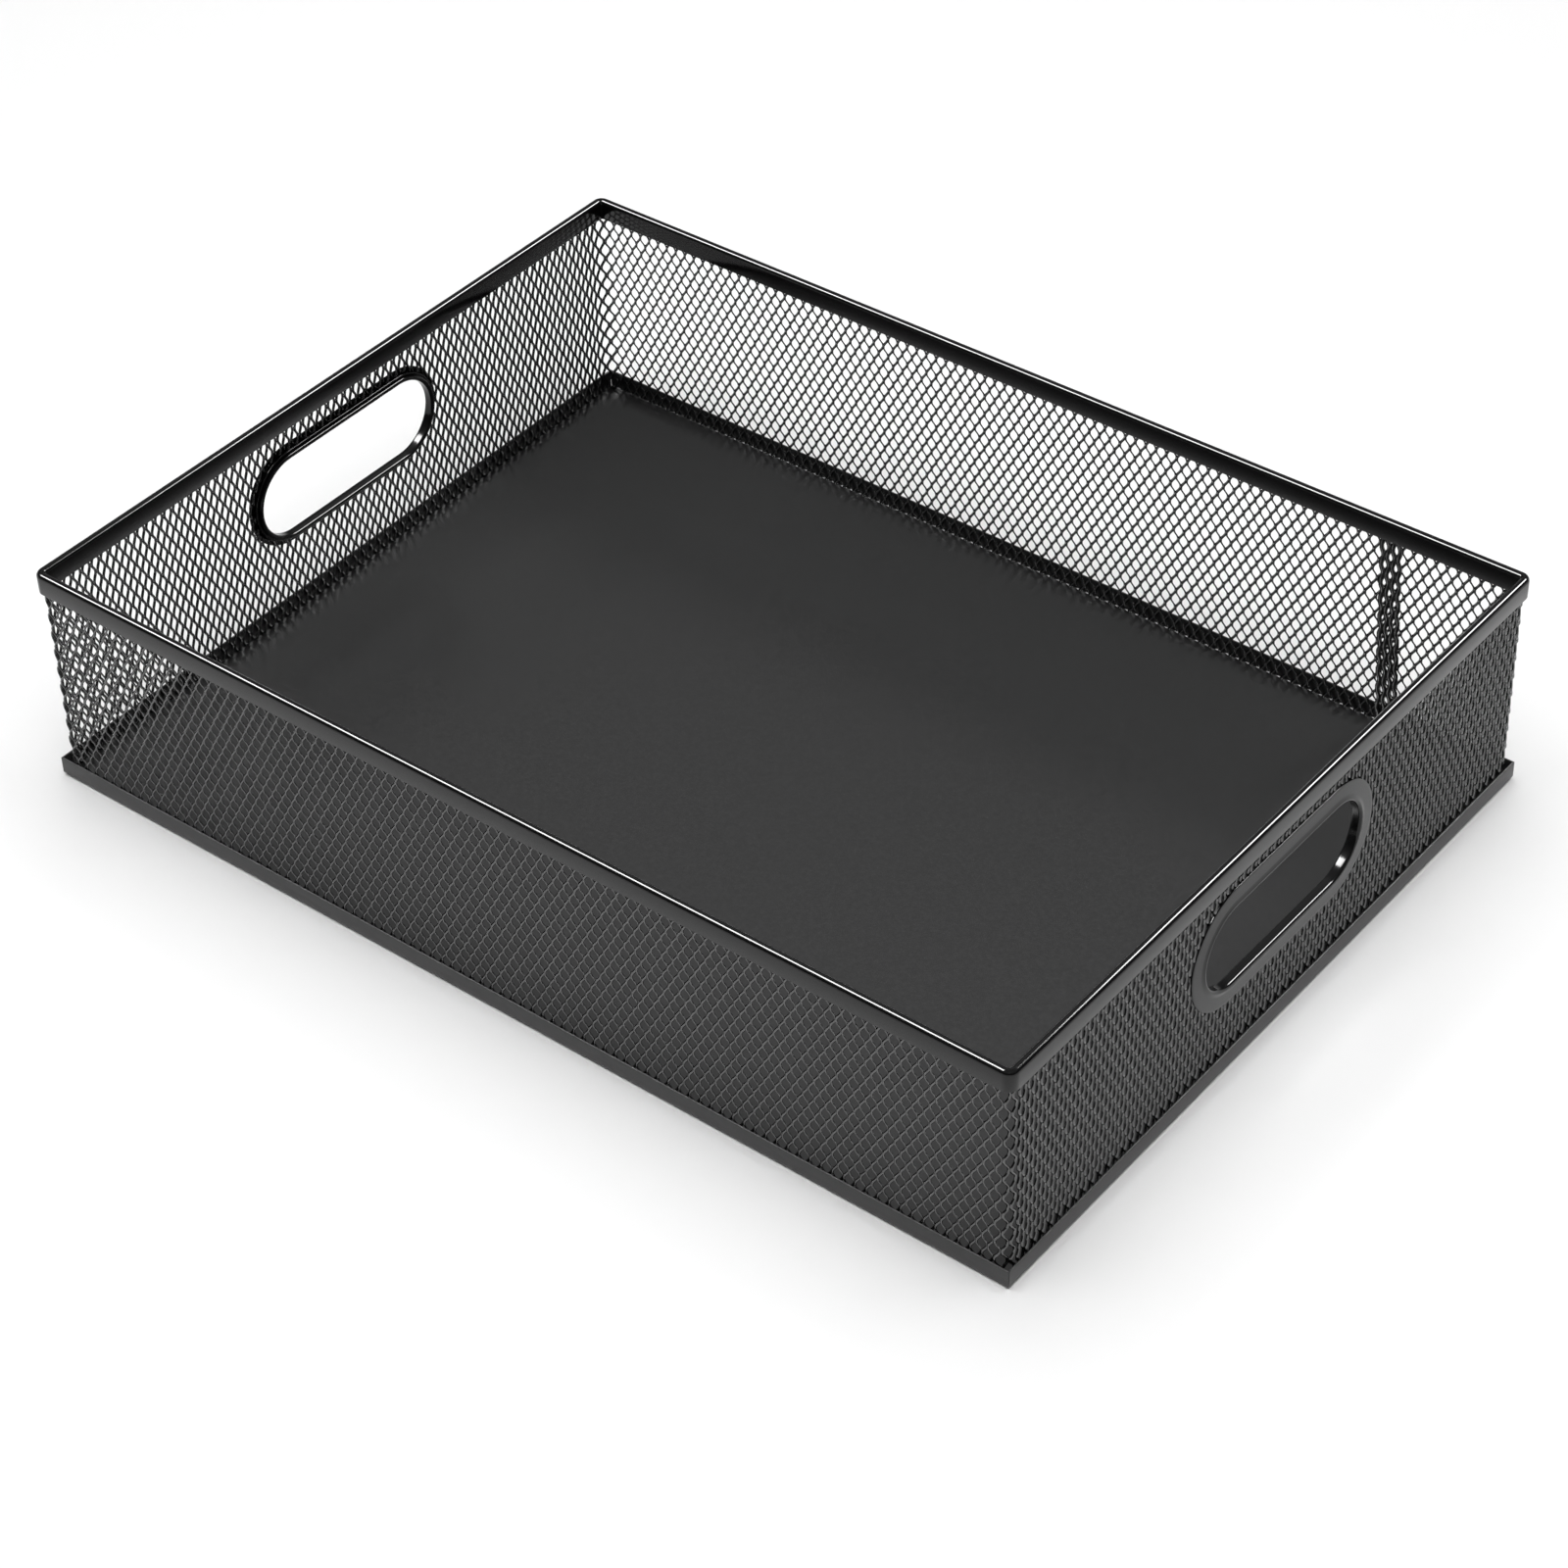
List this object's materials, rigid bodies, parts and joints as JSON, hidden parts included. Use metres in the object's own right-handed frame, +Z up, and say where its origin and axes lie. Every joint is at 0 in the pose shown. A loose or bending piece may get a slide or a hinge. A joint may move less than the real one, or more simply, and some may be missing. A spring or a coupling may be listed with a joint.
{
  "type": "drawer organizer insert",
  "caption": "Open rectangular metal mesh tray with a solid floor, a rolled rim and a stadium-shaped grommeted hand-hole in each short wall, for holding paper and stationery",
  "frame": {"origin": "centre of the footprint, on the surface the tray stands on", "axes": "+X along the tray's length towards one hand-hole, +Y along its width towards the wall with the mesh seam, +Z up"},
  "size_m": [0.3414, 0.2504, 0.074],
  "materials": {
    "pan_enamel": "satin black powder coat on sheet steel",
    "mesh_enamel": "semi-gloss black coat on expanded steel mesh",
    "rim_enamel": "semi-gloss black coat on folded sheet steel",
    "grommet_enamel": "semi-gloss black coat on stamped sheet steel"
  },
  "bodies": {
    "root": {"base_pan": "pan_enamel", "mesh_wall": "mesh_enamel", "top_rim": "rim_enamel", "grommet_right_outer": "grommet_enamel", "grommet_right_inner": "grommet_enamel", "grommet_left_outer": "grommet_enamel", "grommet_left_inner": "grommet_enamel"}
  },
  "joints": []
}
